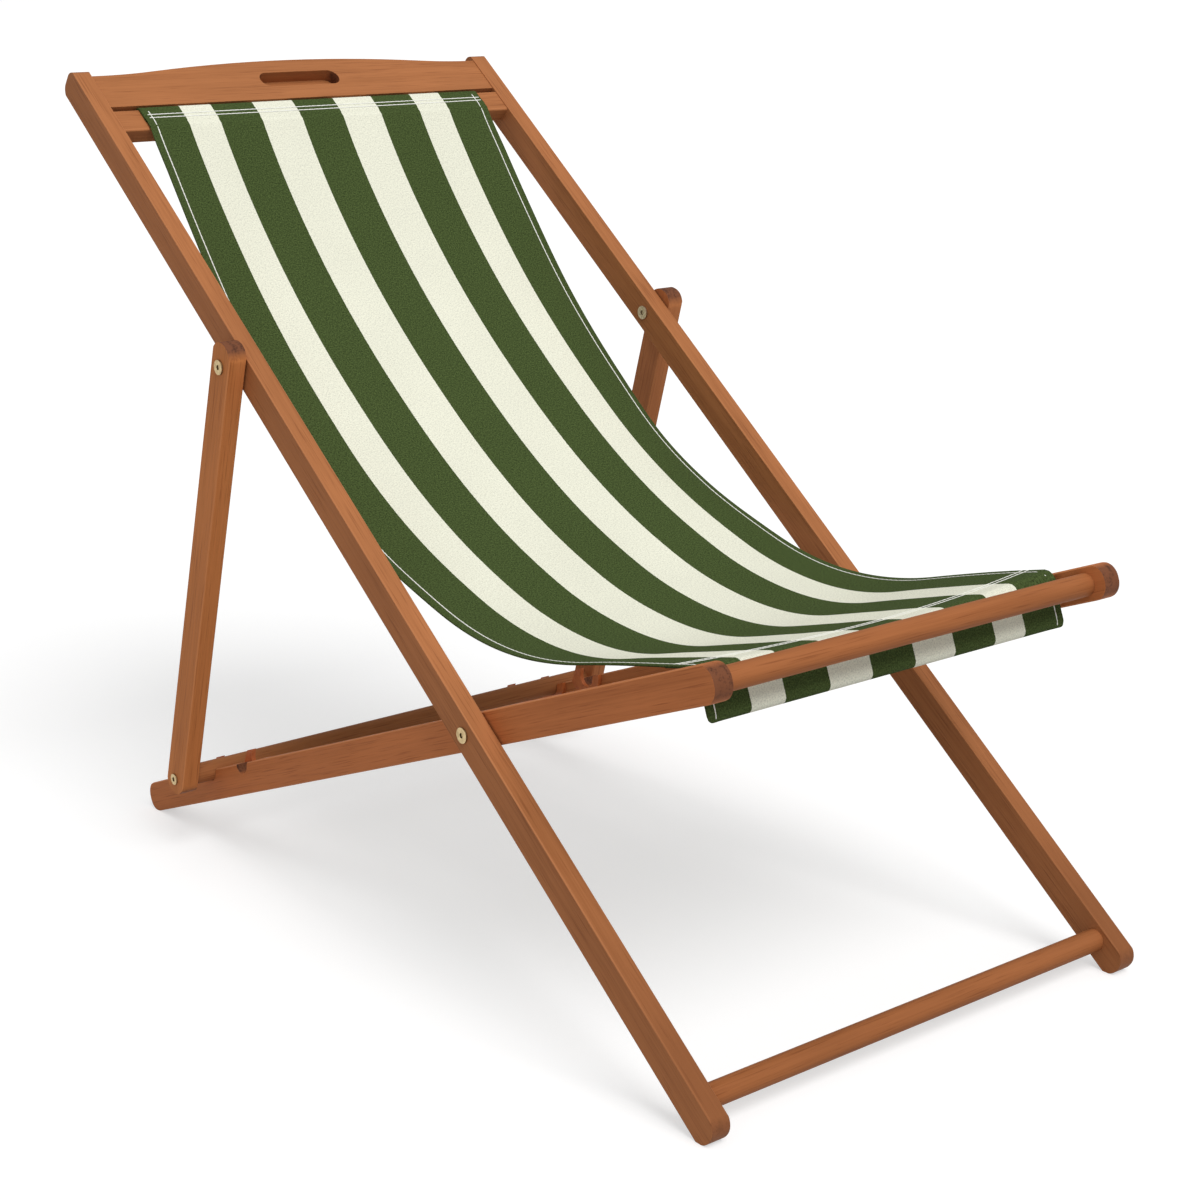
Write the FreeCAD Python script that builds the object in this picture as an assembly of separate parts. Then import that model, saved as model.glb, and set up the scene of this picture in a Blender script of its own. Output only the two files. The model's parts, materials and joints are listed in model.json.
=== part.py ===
import FreeCAD, Part
import math
import os

# A folding deck chair. A long back frame and a shorter seat frame cross at two pivot bolts, and a prop
# frame hung on the back rails drops its crossbar into hooked notches on the seat rails.
# The sitter faces -Y, +Z is up, and the sitter's right-hand side is at -X. The origin is on the floor,
# under the middle of the chair's box. Lengths are in millimetres and angles in degrees.

# Timber sections
rail_thickness = 20.5
rail_depth = 34.5
rail_end_radius = 16.0
back_rail_top_radius = 12.0
arris = 1.2
dowel_radius = 11.5
foot_flat = 0.4

# Frame width and the running gap between the frames
back_frame_width = 560.0
pivot_gap = 2.0

# Rail lengths, each measured from the main pivot to the rail's end
back_rail_above = 928.0
back_rail_below = 444.5
seat_rail_front = 350.5
seat_rail_rear = 732.3

# Prop frame
prop_pivot_height = 486.0
prop_length = 510.5
prop_leg_above = 26.0
prop_leg_below = 17.0

# Hooked notches along the seat rails
notch_first = 488.0
notch_pitch = 77.0
notch_count = 3
notch_in_use = 1
notch_depth = 12.0
notch_clearance = 0.4
notch_slant = 60.0
hook_thickness = 5.0
hook_front_reach = 25.0
hook_rear_reach = 31.0
hook_bottom = 23.5
hook_rise = 12.5
hook_tip_setback = 13.0
hook_tip_radius = 3.0

# Cross members of the back frame
foot_stretcher_drop = 407.0
cross_inset = 2.2
cross_thickness = 20.0
sling_rail_base = 826.0
sling_rail_height = 32.5
sling_slot = 5.5
head_rail_height = 51.5
crown_rise = 14.5
crown_radius = 1600.0
shoulder_flat = 5.5
handle_length = 106.0
handle_height = 23.5
handle_offset = 33.5
handle_depth = 15.0

# Cross members of the seat frame. The sling rail's top lies below the tops of the seat rails, so it
# stands proud of them by a negative amount.
front_dowel_reach = 326.0
seat_sling_slot = 20.0
seat_sling_rail_height = 30.0
seat_sling_rail_thickness = 22.0
seat_sling_edge_radius = 10.0
seat_sling_proud = -11.5

# Joinery
tenon_depth = 12.0
tenon_shoulder = 5.0
glue_gap = 0.05
cross_edge_radius = 3.0

# Pivot and crossbar hardware
sleeve_radius = 4.5
bolt_radius = 3.0
bolt_length = 30.0
pivot_clearance = 0.05
pivot_head_radius = 7.75
bar_head_radius = 6.3
head_height = 1.8
socket_across = 5.0
socket_depth = 1.2
washer_radius = 9.0
running_gap = 0.2

# Sling
sling_width = 457.0
sling_thickness = 1.2
sling_clearance = 0.3
sling_back_slope = 53.8
sling_seat_slope = 14.4
sling_turn_slope = 18.3
sling_back_radius = 950.0
sling_seat_radius = 464.0
sling_rod_radius = 6.0
sling_rod_inset = 20.0
front_loop_drop = 33.0
front_sleeve_proud = 1.0

X_AXIS = FreeCAD.Vector(1, 0, 0)
SIDES = {"right": -1, "left": 1}


class Line:
    """A straight line in the chair's side view, with distances along it and across to its left."""

    def __init__(self, origin, angle):
        self.origin = origin
        self.angle = angle

    def at(self, along, across=0.0):
        turn = math.radians(self.angle)
        y = self.origin[0] + along * math.cos(turn) - across * math.sin(turn)
        z = self.origin[1] + along * math.sin(turn) + across * math.cos(turn)
        return y, z

    def point(self, x, along, across=0.0):
        y, z = self.at(along, across)
        return FreeCAD.Vector(x, y, z)


# The angle between the back rails and the seat rails follows from the prop triangle, and the slope of
# both follows from the rounded rail ends standing on one floor.
half_depth = rail_depth / 2
corner_offset = half_depth - rail_end_radius
notch_radius = dowel_radius + notch_clearance
bar_along = notch_first + notch_in_use * notch_pitch
bar_across = half_depth - notch_depth + notch_radius
bar_reach = math.hypot(bar_along, bar_across)
prop_cosine = prop_pivot_height**2 + bar_reach**2 - prop_length**2
prop_cosine = prop_cosine / (2 * prop_pivot_height * bar_reach)
opening = math.acos(prop_cosine) + math.atan2(bar_across, bar_along)
back_arm = back_rail_below - rail_end_radius
seat_arm = seat_rail_rear - rail_end_radius
seat_slope = math.degrees(
    math.atan2(
        back_arm * math.sin(opening) + corner_offset * (math.cos(opening) - 1),
        seat_arm + back_arm * math.cos(opening) - corner_offset * math.sin(opening),
    )
)
back_slope = math.degrees(opening) - seat_slope
back_turn = math.radians(back_slope)
pivot_height = back_arm * math.sin(back_turn) + corner_offset * math.cos(back_turn) + rail_end_radius - foot_flat
front_reach = back_arm * math.cos(back_turn) + corner_offset * math.sin(back_turn) + rail_end_radius
top_arm = back_rail_above - back_rail_top_radius
top_offset = half_depth - back_rail_top_radius
rear_reach = top_arm * math.cos(back_turn) + top_offset * math.sin(back_turn) + back_rail_top_radius
pivot_y = (front_reach - rear_reach) / 2
pivot = (pivot_y, pivot_height)

back = Line(pivot, back_slope)
seat = Line(pivot, -seat_slope)
prop_top = back.at(prop_pivot_height)
bar_centre = seat.at(bar_along, bar_across)
prop = Line(prop_top, math.degrees(math.atan2(bar_centre[1] - prop_top[1], bar_centre[0] - prop_top[0])))

# Faces of the three frames across the chair, measured from the middle
back_outer = back_frame_width / 2
back_inner = back_outer - rail_thickness
seat_outer = back_inner - pivot_gap
seat_inner = seat_outer - rail_thickness
prop_inner = back_outer + pivot_gap
prop_outer = prop_inner + rail_thickness

# Levels of the cross members along and across the back rails
cross_front = half_depth - cross_inset
cross_rear = cross_front - cross_thickness
sling_rail_top = sling_rail_base + sling_rail_height
head_rail_base = sling_rail_top + sling_slot
head_rail_top = head_rail_base + head_rail_height

# Levels of the sling rail along the seat rails, which run rearwards from the pivot
seat_sling_front = -(front_dowel_reach - dowel_radius - seat_sling_slot)
seat_sling_rear = seat_sling_front + seat_sling_rail_height
seat_sling_top = half_depth + seat_sling_proud
seat_sling_bottom = seat_sling_top - seat_sling_rail_thickness


def rounded_outline(line, low, high, bottom, top, low_radius, high_radius):
    """Closed wire of a rectangle in the side view at x = 0, its corners rounded alike at each end."""
    sides = [
        ((low + low_radius, bottom), (high - high_radius, bottom)),
        ((high, bottom + high_radius), (high, top - high_radius)),
        ((high - high_radius, top), (low + low_radius, top)),
        ((low, top - low_radius), (low, bottom + low_radius)),
    ]
    low_bulge = low_radius * (1 - math.sqrt(0.5))
    high_bulge = high_radius * (1 - math.sqrt(0.5))
    corners = [
        (high - high_bulge, bottom + high_bulge),
        (high - high_bulge, top - high_bulge),
        (low + low_bulge, top - low_bulge),
        (low + low_bulge, bottom + low_bulge),
    ]
    edges = []
    for index, (start, end) in enumerate(sides):
        following = sides[(index + 1) % len(sides)][0]
        edges.append(Part.makeLine(line.point(0, *start), line.point(0, *end)))
        arc = Part.Arc(line.point(0, *end), line.point(0, *corners[index]), line.point(0, *following))
        edges.append(arc.toShape())
    return Part.Wire(edges)


def extrude_across(wire, x_start, x_end):
    """Solid between two planes across the chair, from a closed side-view wire at x = 0."""
    solid = Part.Face(wire).extrude(X_AXIS * (x_end - x_start))
    solid.translate(X_AXIS * x_start)
    return solid


def cylinder(place, radius, x_start, x_end):
    """Round bar across the chair between two planes."""
    base = FreeCAD.Vector(min(x_start, x_end), place[0], place[1])
    return Part.makeCylinder(radius, abs(x_end - x_start), base, X_AXIS)


def block(line, section, x_start, x_end, grow=0.0):
    """Square-edged bar across the chair. The section is (low, high) along and (low, high) across."""
    low, high, bottom, top = section
    corners = [
        (low - grow, bottom - grow),
        (high + grow, bottom - grow),
        (high + grow, top + grow),
        (low - grow, top + grow),
        (low - grow, bottom - grow),
    ]
    wire = Part.makePolygon([line.point(0, *corner) for corner in corners])
    return extrude_across(wire, min(x_start, x_end), max(x_start, x_end))


def rail(line, start, end, inner, side, end_radius=rail_end_radius):
    """Rail with rounded ends and eased arrises, its inner face at the given distance from the middle."""
    wire = rounded_outline(line, start, end, -half_depth, half_depth, rail_end_radius, end_radius)
    low, high = sorted((side * inner, side * (inner + rail_thickness)))
    body = extrude_across(wire, low, high)
    for x, out in ((low, -1), (high, 1)):
        for up in (-1, 1):
            body = body.cut(arris_cutter(line, start, end, x, out, up))
    return body


def arris_cutter(line, start, end, x, out, up):
    """Three-sided bar that takes off one long edge of a rail."""
    corners = [(-2 * arris, arris), (arris, -2 * arris), (arris, arris), (-2 * arris, arris)]
    points = [line.point(x + out * across, start, up * (half_depth + rise)) for across, rise in corners]
    along = line.point(0, end) - line.point(0, start)
    return Part.Face(Part.makePolygon(points)).extrude(along)


def tenon_section(low, high, bottom, top):
    """Section of a stub tenon, set in from all four faces of its board."""
    return low + tenon_shoulder, high - tenon_shoulder, bottom + tenon_shoulder, top - tenon_shoulder


def add_tenons(board, line, section, inner):
    """Board with a stub tenon at each end."""
    for side in SIDES.values():
        board = board.fuse(block(line, section, side * inner, side * (inner + tenon_depth)))
    return board.removeSplitter()


def mortise(line, section, inner, side):
    return block(line, section, side * inner, side * (inner + tenon_depth + glue_gap), glue_gap)


def dowel_hole(place, inner, side):
    return cylinder(place, dowel_radius + glue_gap, side * inner, side * (inner + tenon_depth + glue_gap))


def dowel(place, inner):
    return cylinder(place, dowel_radius, -(inner + tenon_depth), inner + tenon_depth)


def below_floor():
    """Everything under the floor, which cuts the flats that the rail ends stand on."""
    reach = 2 * (back_rail_above + back_rail_below)
    return Part.makeBox(reach, reach, reach, FreeCAD.Vector(-reach / 2, -reach / 2, -reach))


head_tenon = tenon_section(head_rail_base, head_rail_top, cross_rear, cross_front)
sling_rail_tenon = tenon_section(sling_rail_base, sling_rail_top, cross_rear, cross_front)
seat_sling_tenon = tenon_section(seat_sling_front, seat_sling_rear, seat_sling_bottom, seat_sling_top)
stretcher_place = back.at(-foot_stretcher_drop)
front_dowel_place = seat.at(-front_dowel_reach)


def back_rail(side):
    body = rail(back, -back_rail_below, back_rail_above, back_inner, side, back_rail_top_radius)
    for place in (pivot, prop_top):
        body = body.cut(cylinder(place, sleeve_radius + pivot_clearance, side * back_inner, side * back_outer))
    body = body.cut(mortise(back, head_tenon, back_inner, side))
    body = body.cut(mortise(back, sling_rail_tenon, back_inner, side))
    body = body.cut(dowel_hole(stretcher_place, back_inner, side))
    return body.cut(below_floor())


def head_rail():
    """Board with a low camel-back crown over a round-ended hand recess."""
    shoulder_end = back_inner - shoulder_flat
    turn = 2 * math.atan2(crown_rise, shoulder_end)
    crown_end = crown_radius * math.sin(turn)
    shoulder_radius = shoulder_end / math.sin(turn) - crown_radius
    crown = head_rail_top + crown_rise

    def on_crown(x):
        return back.point(x, crown - crown_radius + math.sqrt(crown_radius**2 - x**2), cross_front)

    def on_shoulder(x):
        out = abs(x) - shoulder_end
        return back.point(x, head_rail_top + shoulder_radius - math.sqrt(shoulder_radius**2 - out**2), cross_front)

    middle = (crown_end + shoulder_end) / 2
    outline = [
        Part.makePolygon(
            [
                back.point(-shoulder_end, head_rail_top, cross_front),
                back.point(-back_inner, head_rail_top, cross_front),
                back.point(-back_inner, head_rail_base, cross_front),
                back.point(back_inner, head_rail_base, cross_front),
                back.point(back_inner, head_rail_top, cross_front),
                back.point(shoulder_end, head_rail_top, cross_front),
            ]
        ),
        Part.Arc(on_shoulder(shoulder_end), on_shoulder(middle), on_shoulder(crown_end)).toShape(),
        Part.Arc(on_crown(crown_end), on_crown(0), on_crown(-crown_end)).toShape(),
        Part.Arc(on_shoulder(-crown_end), on_shoulder(-middle), on_shoulder(-shoulder_end)).toShape(),
    ]
    board = Part.Face(Part.Wire(outline)).extrude(rearwards(cross_thickness))
    board = board.cut(handle_recess())
    return add_tenons(board, back, head_tenon, back_inner)


def rearwards(depth):
    """Vector into the back frame's boards from their front faces."""
    return back.point(0, 0, -depth) - back.point(0, 0)


def handle_recess():
    """Cutter for the hand recess, a slot with half-round ends let into the front face."""
    radius = handle_height / 2
    straight = handle_length / 2 - radius
    centre = head_rail_base + handle_offset
    corners = {}
    for x in (-straight, straight):
        for level in (-radius, radius):
            corners[x, level] = back.point(x, centre + level, cross_front)
    edges = [
        Part.makeLine(corners[-straight, -radius], corners[straight, -radius]),
        Part.makeLine(corners[straight, radius], corners[-straight, radius]),
    ]
    for x, reach in ((-straight, -radius), (straight, radius)):
        tip = back.point(x + reach, centre, cross_front)
        edges.append(Part.Arc(corners[x, -radius], tip, corners[x, radius]).toShape())
    return Part.Face(Part.Wire(Part.__sortEdges__(edges))).extrude(rearwards(handle_depth))


def sling_top_rail():
    radius = cross_edge_radius
    wire = rounded_outline(back, sling_rail_base, sling_rail_top, cross_rear, cross_front, radius, radius)
    return add_tenons(extrude_across(wire, -back_inner, back_inner), back, sling_rail_tenon, back_inner)


def notch_cutter(along, x_start, x_end):
    """Slanted U-shaped notch that the crossbar slides into from above and in front."""
    slot = Line(seat.at(along, bar_across), seat.angle + 180 - notch_slant)
    mouth = (rail_depth + hook_rise) / math.sin(math.radians(notch_slant))
    channel = block(slot, (0, mouth, -notch_radius, notch_radius), x_start, x_end)
    return cylinder(slot.origin, notch_radius, x_start, x_end).fuse(channel)


def notch_places():
    return [notch_first + index * notch_pitch for index in range(notch_count)]


def seat_rail(side):
    body = rail(seat, -seat_rail_front, seat_rail_rear, seat_inner, side)
    body = body.cut(cylinder(pivot, sleeve_radius + pivot_clearance, side * seat_inner, side * seat_outer))
    body = body.cut(mortise(seat, seat_sling_tenon, seat_inner, side))
    body = body.cut(dowel_hole(front_dowel_place, seat_inner, side))
    for along in notch_places():
        body = body.cut(notch_cutter(along, side * seat_inner, side * seat_outer))
    return body.cut(below_floor())


def seat_sling_rail():
    levels = seat_sling_front, seat_sling_rear, seat_sling_bottom, seat_sling_top
    wire = rounded_outline(seat, *levels, seat_sling_edge_radius, cross_edge_radius)
    return add_tenons(extrude_across(wire, -seat_inner, seat_inner), seat, seat_sling_tenon, seat_inner)


def notch_hook(along, side):
    """Moulded hook on a seat rail's inner face: a cradle under the bar and a horn that leans over it."""
    local = Line(seat.at(along, half_depth), seat.angle)
    lip = local.point(0, -hook_front_reach, 0)
    heel = local.point(0, hook_rear_reach, 0)
    base = local.point(0, (hook_rear_reach - hook_front_reach) / 2, -hook_bottom)
    tip_rear = local.point(0, hook_rear_reach - hook_tip_setback, hook_rise)
    tip_front = local.point(0, 0, hook_rise)
    edges = [
        Part.Arc(lip, base, heel).toShape(),
        Part.makeLine(heel, tip_rear),
        Part.makeLine(tip_rear, tip_front),
        Part.makeLine(tip_front, local.point(0, 0, 0)),
        Part.makeLine(local.point(0, 0, 0), lip),
    ]
    faces = sorted((side * (seat_inner - hook_thickness), side * seat_inner))
    body = extrude_across(Part.Wire(edges), *faces)
    body = body.cut(notch_cutter(along, *faces))
    rear_edge = [edge for edge in body.Edges if is_across(edge, tip_rear)]
    return body.makeFillet(hook_tip_radius, rear_edge)


def is_across(edge, place):
    """True for the straight edge that runs across the chair through a side-view point."""
    ends = [vertex.Point for vertex in edge.Vertexes]
    return all(math.hypot(end.y - place.y, end.z - place.z) < 1e-6 for end in ends)


def prop_leg(side):
    body = rail(prop, -prop_leg_above, prop_length + prop_leg_below, prop_inner, side)
    for place, radius in ((prop_top, sleeve_radius + pivot_clearance), (bar_centre, bolt_radius + glue_gap)):
        body = body.cut(cylinder(place, radius, side * prop_inner, side * prop_outer))
    return body


def prop_crossbar():
    body = cylinder(bar_centre, dowel_radius, -prop_inner, prop_inner)
    for side in SIDES.values():
        depth = prop_outer - bolt_length - glue_gap
        body = body.cut(cylinder(bar_centre, bolt_radius + glue_gap, side * prop_inner, side * depth))
    return body


def socket(place, x_face, side):
    """Hexagon key socket in a bolt head whose outer face looks away from the middle."""
    corner = socket_across / math.sqrt(3)
    points = []
    for index in range(7):
        turn = math.radians(60 * index)
        points.append(FreeCAD.Vector(0, place[0] + corner * math.cos(turn), place[1] + corner * math.sin(turn)))
    return extrude_across(Part.makePolygon(points), *sorted((x_face, x_face - side * socket_depth)))


def bolt(place, seat_face, head_radius, side):
    """Flat-headed connector bolt, its head lying outside the given face."""
    top = side * (seat_face + head_height)
    head = cylinder(place, head_radius, side * seat_face, top)
    shank = cylinder(place, bolt_radius, side * (seat_face - bolt_length), top)
    return head.fuse(shank).removeSplitter().cut(socket(place, top, side))


def sleeve_nut(place, inner_face, outer_face, side):
    """Flat-headed sleeve nut let in from the inner face. The bolt screws into its bore."""
    end = side * (outer_face - running_gap)
    top = side * (inner_face - head_height)
    head = cylinder(place, pivot_head_radius, side * inner_face, top)
    sleeve = cylinder(place, sleeve_radius, top, end)
    bore = cylinder(place, bolt_radius + glue_gap, side * (outer_face - bolt_length - running_gap), end)
    body = head.fuse(sleeve).removeSplitter().cut(bore)
    return body.cut(socket(place, top, -side))


def washer(place, seated_face, free_face, side):
    """Washer that fills the gap between two frames, less a running gap on its free side."""
    away = running_gap if free_face > seated_face else -running_gap
    ends = side * seated_face, side * (free_face - away)
    ring = cylinder(place, washer_radius, *ends)
    return ring.cut(cylinder(place, sleeve_radius + pivot_clearance, *ends))


def trace(start, heading, steps, offset):
    """Edges of a path of lines and tangent arcs, shifted to its left by an offset.

    A step is (length, None) for a line or (radius, turn) for an arc, where a positive turn is to the left.
    """
    path = Line(start, heading)
    edges = []
    for size, turn in steps:
        if turn is None:
            end = Line(path.at(size), path.angle)
            edges.append(Part.makeLine(path.point(0, 0, offset), end.point(0, 0, offset)))
        else:
            hand = math.copysign(1, turn)
            hub = path.at(0, hand * size)
            middle = Line(hub, path.angle + turn / 2)
            end_radius = Line(hub, path.angle + turn)
            reach = offset - hand * size
            end = Line(end_radius.at(0, -hand * size), end_radius.angle)
            arc = Part.Arc(path.point(0, 0, offset), middle.point(0, 0, reach), end.point(0, 0, offset))
            edges.append(arc.toShape())
        path = end
    return edges, path.origin


def displacement(heading, steps):
    return trace((0.0, 0.0), heading, steps, 0.0)[1]


def sling_path():
    """Start, heading and steps of the cloth's middle, from the top rod to the front rod."""
    stand_off = sling_clearance + sling_thickness / 2
    bend = cross_edge_radius + stand_off
    front_bend = seat_sling_edge_radius + stand_off
    outwards = back_slope + 90
    down_back = outwards + 90
    leaving = 180 + sling_back_slope
    arriving = 180 - sling_seat_slope
    through_seat = 270 - seat_slope

    loop = rod_loop_radius()
    through = cross_front - cross_edge_radius - (top_rod_across() + loop)
    start = back.at(sling_rail_top + stand_off, top_rod_across() + loop)
    over_top = [
        (through, None),
        (bend, 90),
        (sling_rail_height - 2 * cross_edge_radius, None),
        (bend, leaving - down_back),
    ]
    hang_start = displacement(outwards, over_top)
    hang_start = (start[0] + hang_start[0], start[1] + hang_start[1])

    arcs = [
        (sling_back_radius, sling_turn_slope - sling_back_slope),
        (sling_seat_radius, -(sling_turn_slope + sling_seat_slope)),
    ]
    edge_hub = seat.at(seat_sling_front + seat_sling_edge_radius, seat_sling_top - seat_sling_edge_radius)
    hang_end = Line(edge_hub, arriving).at(0, -front_bend)
    curved = displacement(leaving, arcs)
    gap_y = hang_end[0] - hang_start[0] - curved[0]
    gap_z = hang_end[1] - hang_start[1] - curved[1]
    first = math.radians(leaving)
    last = math.radians(arriving)
    cross = math.cos(first) * math.sin(last) - math.sin(first) * math.cos(last)
    back_run = (gap_y * math.sin(last) - gap_z * math.cos(last)) / cross
    seat_run = (math.cos(first) * gap_z - math.sin(first) * gap_y) / cross
    down_front = front_loop_drop - seat_sling_edge_radius
    hang = [(back_run, None), *arcs, (seat_run, None), (front_bend, through_seat - arriving), (down_front, None)]
    return start, outwards, over_top + hang


def rod_loop_radius():
    return sling_rod_radius + sling_clearance + sling_thickness / 2


def top_rod_across():
    return cross_rear - sling_clearance - sling_thickness / 2 - rod_loop_radius()


def top_rod_place():
    return back.at(sling_rail_top + sling_clearance + sling_thickness / 2, top_rod_across())


def front_rod_place():
    """The front rod hangs behind its cloth, and the sleeve stands a little proud of the cloth's face."""
    stand_off = sling_clearance + sling_thickness / 2
    behind = rod_loop_radius() - front_sleeve_proud
    return seat.at(seat_sling_front - stand_off + behind, seat_sling_top - front_loop_drop)


def sling():
    """Hanging cloth with a sleeve round a rod at each end."""
    start, heading, steps = sling_path()
    half = sling_thickness / 2
    left, _ = trace(start, heading, steps, half)
    right, _ = trace(start, heading, steps, -half)
    caps = [
        Part.makeLine(left[0].Vertexes[0].Point, right[0].Vertexes[0].Point),
        Part.makeLine(left[-1].Vertexes[-1].Point, right[-1].Vertexes[-1].Point),
    ]
    wire = Part.Wire(Part.__sortEdges__(left + right + caps))
    faces = -sling_width / 2, sling_width / 2
    cloth = extrude_across(wire, *faces)
    places = top_rod_place(), front_rod_place()
    for place in places:
        cloth = cloth.fuse(cylinder(place, rod_loop_radius() + half, *faces))
    for place in places:
        cloth = cloth.cut(cylinder(place, rod_loop_radius() - half, *faces))
    return cloth.removeSplitter()


def sling_rod(place):
    reach = sling_width / 2 - sling_rod_inset
    return cylinder(place, sling_rod_radius, -reach, reach)


def pieces():
    """Every piece of the chair by name."""
    made = {
        "head_rail": head_rail(),
        "sling_top_rail": sling_top_rail(),
        "foot_stretcher": dowel(stretcher_place, back_inner),
        "front_dowel": dowel(front_dowel_place, seat_inner),
        "seat_sling_rail": seat_sling_rail(),
        "prop_crossbar": prop_crossbar(),
        "sling": sling(),
        "top_sling_rod": sling_rod(top_rod_place()),
        "front_sling_rod": sling_rod(front_rod_place()),
    }
    for name, side in SIDES.items():
        made["back_rail_" + name] = back_rail(side)
        made["seat_rail_" + name] = seat_rail(side)
        made["prop_leg_" + name] = prop_leg(side)
        for index, along in enumerate(notch_places(), start=1):
            made["notch_hook_" + name + "_" + str(index)] = notch_hook(along, side)
        made["main_pivot_bolt_" + name] = bolt(pivot, back_outer, pivot_head_radius, side)
        made["main_pivot_nut_" + name] = sleeve_nut(pivot, seat_inner - running_gap, back_outer, side)
        made["main_pivot_washer_" + name] = washer(pivot, back_inner, seat_outer, side)
        made["prop_pivot_bolt_" + name] = bolt(prop_top, prop_outer + running_gap, pivot_head_radius, side)
        made["prop_pivot_nut_" + name] = sleeve_nut(prop_top, back_inner, prop_outer, side)
        made["prop_pivot_washer_" + name] = washer(prop_top, back_outer, prop_inner, side)
        made["crossbar_bolt_" + name] = bolt(bar_centre, prop_outer, bar_head_radius, side)
    return made


def main():
    os.makedirs("parts", exist_ok=True)
    for name, shape in pieces().items():
        if len(shape.Solids) != 1 or not shape.isValid():
            raise ValueError("not one valid solid: " + name)
        shape.Solids[0].exportStep(os.path.join("parts", name + ".step"))
    length = sum(size if turn is None else size * math.radians(abs(turn)) for size, turn in sling_path()[2])
    print("back slope", round(back_slope, 2), "seat slope", round(seat_slope, 2), "prop", round(prop.angle, 2))
    print("pivot", [round(value, 2) for value in pivot], "prop pivot", [round(value, 2) for value in prop_top])
    print("bar", [round(value, 2) for value in bar_centre], "cloth length", round(length, 1))


main()
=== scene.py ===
"""The deck chair's looks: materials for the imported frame, and the hanging cloth sling with its stitching."""
import json
import math

import bpy
from mathutils import Matrix, Vector


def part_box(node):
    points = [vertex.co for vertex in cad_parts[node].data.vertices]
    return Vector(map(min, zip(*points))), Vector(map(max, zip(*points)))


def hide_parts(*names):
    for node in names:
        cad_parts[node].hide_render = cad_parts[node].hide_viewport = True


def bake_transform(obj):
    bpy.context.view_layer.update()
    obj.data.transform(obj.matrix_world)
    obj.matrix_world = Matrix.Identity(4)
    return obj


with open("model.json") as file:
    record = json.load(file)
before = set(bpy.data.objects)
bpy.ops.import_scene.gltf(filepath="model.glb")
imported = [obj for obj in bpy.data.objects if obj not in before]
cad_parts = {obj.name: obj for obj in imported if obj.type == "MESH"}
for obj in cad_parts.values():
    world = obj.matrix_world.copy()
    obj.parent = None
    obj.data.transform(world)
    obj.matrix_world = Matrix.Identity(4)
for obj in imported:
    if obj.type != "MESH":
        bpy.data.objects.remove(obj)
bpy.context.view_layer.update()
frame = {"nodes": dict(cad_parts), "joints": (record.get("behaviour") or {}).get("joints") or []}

scene = bpy.context.scene
SIDES = ("right", "left")
LEFT, RIGHT = 1, -1

# Lengths are in metres and angles in degrees. The side view has y to the rear and z up.
# Camera, in the chair's frame.
camera_place = (-1.44755, -1.85359, 0.98813)
camera_yaw = 38.73
camera_pitch = -15.92
camera_roll = -0.24
focal_pixels = 2293.65
image_pixels = 1200.0
sensor_width = 36.0

# Cloth, where it meets the frame.
cloth_width = 0.457
cloth_thickness = 0.0012
cloth_clearance = 0.0003
rail_edge_radius = 0.003
front_edge_radius = 0.010
rod_radius = 0.006
rod_half_length = 0.2085

# Cloth, as it hangs: the slopes where it leaves the back, turns into the seat and reaches the front.
back_slope_of_cloth = 58.2
seat_slope_of_cloth = 13.1
turn_slope_of_cloth = 19.0
back_curve_radius = 1.018
seat_curve_radius = 0.409

# How far the middle and the edges of the cloth stand off that line, towards the sitter, at shares of the
# hanging length. The edges droop at the knee and stand up over the front.
middle_lifts = (
    (0.0, 0.0),
    (0.20, 0.0),
    (0.36, 0.002),
    (0.56, -0.002),
    (0.72, -0.001),
    (0.84, -0.004),
    (0.92, -0.001),
    (0.97, 0.002),
    (1.0, 0.0025),
)
edge_lifts = (
    (0.0, 0.002),
    (0.06, 0.006),
    (0.14, 0.006),
    (0.24, 0.0),
    (0.36, -0.007),
    (0.45, -0.015),
    (0.53, -0.0135),
    (0.62, -0.006),
    (0.71, 0.0),
    (0.83, 0.009),
    (0.93, 0.014),
    (1.0, 0.015),
)
# The edges' part grows from the middle as a power of the distance. At the knee only the very edges droop,
# and at the front the whole width curves, so the power changes along the hanging length.
knee_power = 4
front_power = 2
power_change_start = 0.70
power_change_run = 0.20
# Share of the front lift that the right corner lacks, and where along the hanging length that sets in.
right_corner_sag = 0.40
corner_sag_start = 0.80
corner_sag_run = 0.20
# Length over which the lifts and the hems' folds fade at the ends of the hanging part.
lift_fade = 0.02

# Sleeves of the cloth, each round a rod.
sleeve_overlap_top = 0.0185
sleeve_overlap_front = 0.032
sleeve_corner = 0.010
sleeve_turn_radius = 0.0015
sleeve_turn_rise = 0.0093
sleeve_pinch = 0.016
top_turn_radius = 0.004
top_turn_inset = 0.0022
step_radius = 0.0019
step_inset = 0.0003
landing_radius = 0.006
landing_inset = 0.005
# Lengths along the cloth between which it goes over the top rail a second time, on its way to the seat.
second_pass_start = 0.08
second_pass_end = 0.20
# Length at the end of the cloth, about as far as it comes back from the bottom of the front sleeve.
front_return = 0.10

# Hems, stripes and stitches.
hem_stitch = 0.0092
hem_fold = 0.0009
hem_fold_past = 0.0014
hem_fold_run = 0.002
hem_puff = 0.00025
stripe_edges = (0.0268, 0.0800, 0.1345, 0.1755)
stripe_drift = 0.005
drift_share = 0.27
drift_power = 4
sleeve_drift = 0.004
stripe_wander = 0.0012
thread_pitch = 0.00075
top_row_insets = (0.0035, 0.0090)
front_row_insets = (0.0190, 0.0265)
row_margin = 0.002
stitch_length = 0.0072
stitch_pitch = 0.0068
stitch_width = 0.0015
stitch_height = 0.0007
stitch_dip = 0.0003
stitch_dip_reach = 0.0009
stitch_sides = 6
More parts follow.
